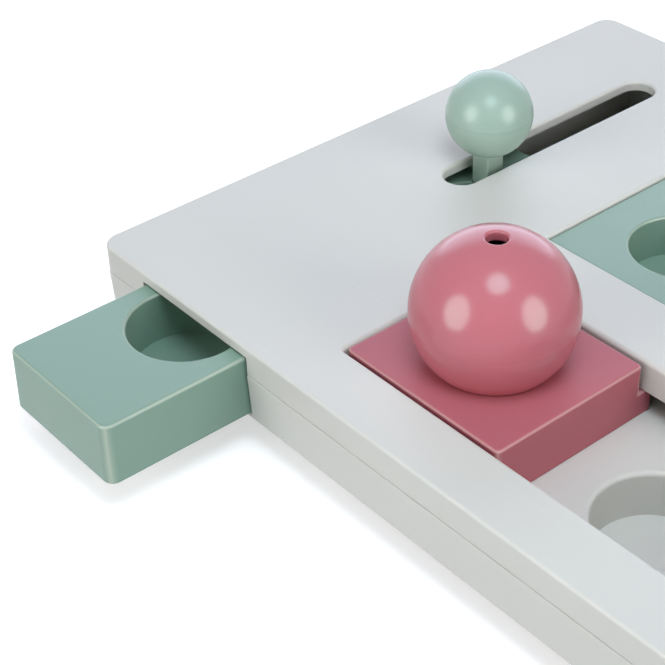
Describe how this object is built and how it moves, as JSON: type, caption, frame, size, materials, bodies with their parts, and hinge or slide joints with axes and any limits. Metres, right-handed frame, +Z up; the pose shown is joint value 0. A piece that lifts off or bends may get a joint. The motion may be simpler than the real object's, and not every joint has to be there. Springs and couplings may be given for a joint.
{
  "type": "cat puzzle feeder",
  "caption": "Flat square activity board for cats: a drawer worked by a ball knob in a slot, a treat ball on a sliding block, and a tray of round food cups.",
  "frame": {"origin": "on the floor under the middle of the overall box, with the drawer out as in the picture", "axes": "+Z up, +Y from the drawer's front towards the back of the board, +X to the right along the front of the board, as seen from the drawer's side"},
  "size_m": [0.2082, 0.2434, 0.0665],
  "materials": {
    "shell_light": "light warm grey moulded plastic, fine satin texture",
    "mint_plastic": "muted mint green moulded plastic, satin",
    "mint_knob": "muted mint green plastic, soft gloss with faint turning rings",
    "pink_plastic": "dusty rose moulded plastic, satin",
    "pink_ball": "dusty rose plastic, soft gloss",
    "foot_rubber": "grey soft rubber",
    "screw_steel": "zinc plated steel"
  },
  "bodies": {
    "board": {"top_shell": "shell_light", "base_shell": "shell_light", "cup_tray": "mint_plastic", "foot_front_left": "foot_rubber", "foot_front_right": "foot_rubber", "foot_back_left": "foot_rubber", "foot_back_right": "foot_rubber", "housing_screws": "screw_steel"},
    "drawer": {"drawer": "mint_plastic", "knob_post": "mint_knob", "knob_ball": "mint_knob", "knob_screw": "screw_steel"},
    "slider": {"ball_slider": "pink_plastic"},
    "ball": {"treat_ball": "pink_ball"}
  },
  "joints": [
    {"name": "drawer_slide", "type": "slide", "parent": "board", "child": "drawer", "axis": [0, 1, 0], "range_m": [-0.0115, 0.0648]},
    {"name": "block_slide", "type": "slide", "parent": "board", "child": "slider", "axis": [1, 0, 0], "range_m": [-0.0001, 0.0552]},
    {"name": "ball_lift", "type": "slide", "parent": "slider", "child": "ball", "axis": [0, 0, 1], "range_m": [0, 0.045]}
  ]
}
